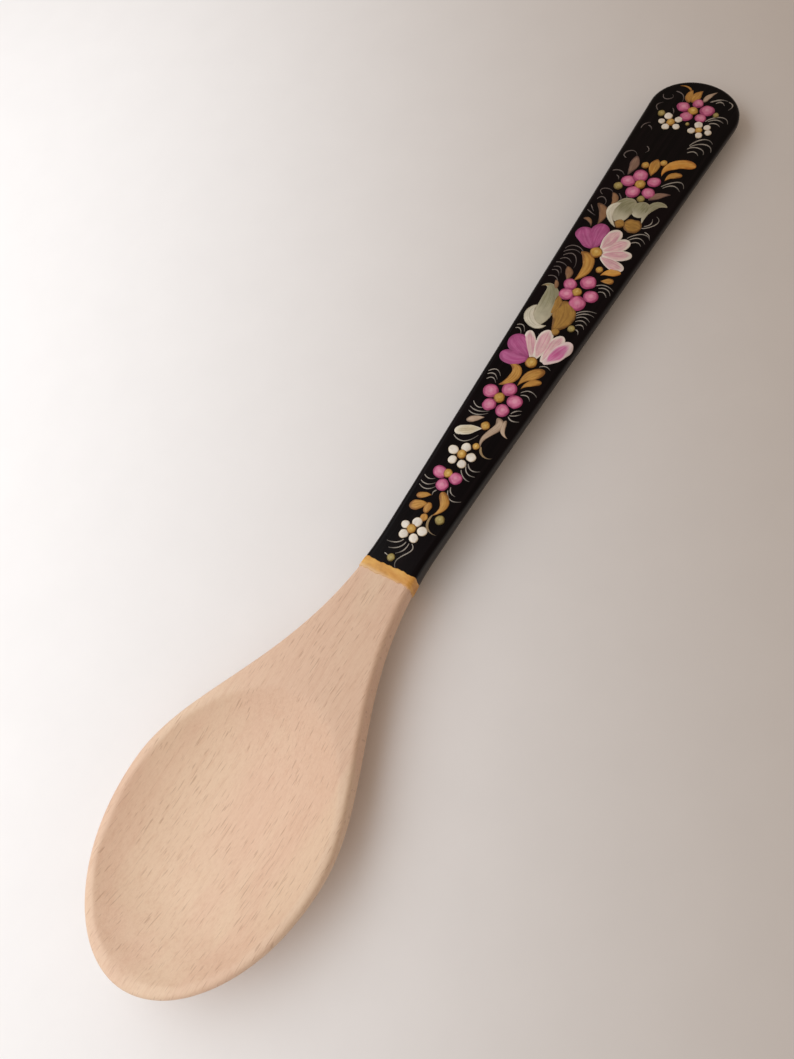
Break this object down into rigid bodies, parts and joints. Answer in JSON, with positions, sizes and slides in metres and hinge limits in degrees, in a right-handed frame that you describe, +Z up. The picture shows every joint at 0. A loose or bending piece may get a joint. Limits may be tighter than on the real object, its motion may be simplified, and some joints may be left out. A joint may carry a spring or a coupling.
{
  "type": "wooden spoon",
  "caption": "One-piece carved wooden spoon with an oval hollowed bowl and a widening handle, lacquered black and painted with flowers.",
  "frame": {"origin": "bottom centre of the spoon's bounding box, on the surface it lies on, midway along its length", "axes": "+X along the spoon from the bowl's tip to the handle's end, +Y across it to the left, +Z up"},
  "size_m": [0.32, 0.0598, 0.0196],
  "materials": {
    "beech": "bare, sanded",
    "black_lacquer": "satin black lacquer on wood",
    "ochre_paint": "brushed satin paint",
    "pink_paint": "thick brushed satin paint",
    "white_paint": "thick brushed satin paint",
    "magenta_paint": "thick brushed satin paint",
    "pale_pink_paint": "thick brushed satin paint",
    "rose_paint": "thick brushed satin paint",
    "olive_paint": "brushed satin paint",
    "brown_paint": "brushed satin paint",
    "mauve_paint": "brushed satin paint",
    "cream_paint": "brushed satin paint",
    "grey_white_paint": "brushed satin paint"
  },
  "bodies": {
    "root": {"spoon_blank": "beech", "black_lacquer_coat": "black_lacquer", "ochre_band": "ochre_paint", "pink_blossoms": "pink_paint", "white_blossoms": "white_paint", "blossom_centres": "ochre_paint", "three_dab_blossom": "pink_paint", "large_flower_centres": "ochre_paint", "magenta_petals": "magenta_paint", "pale_petals": "pale_pink_paint", "rose_petal": "rose_paint", "ochre_berries": "ochre_paint", "olive_berries": "olive_paint", "ochre_leaves": "ochre_paint", "brown_leaves": "brown_paint", "mauve_leaves": "mauve_paint", "cream_leaves": "cream_paint", "bud_shells": "grey_white_paint", "bud_cups": "ochre_paint", "curled_stems": "ochre_paint", "upper_hair_fans": "white_paint", "lower_hair_fans": "white_paint"}
  },
  "joints": []
}
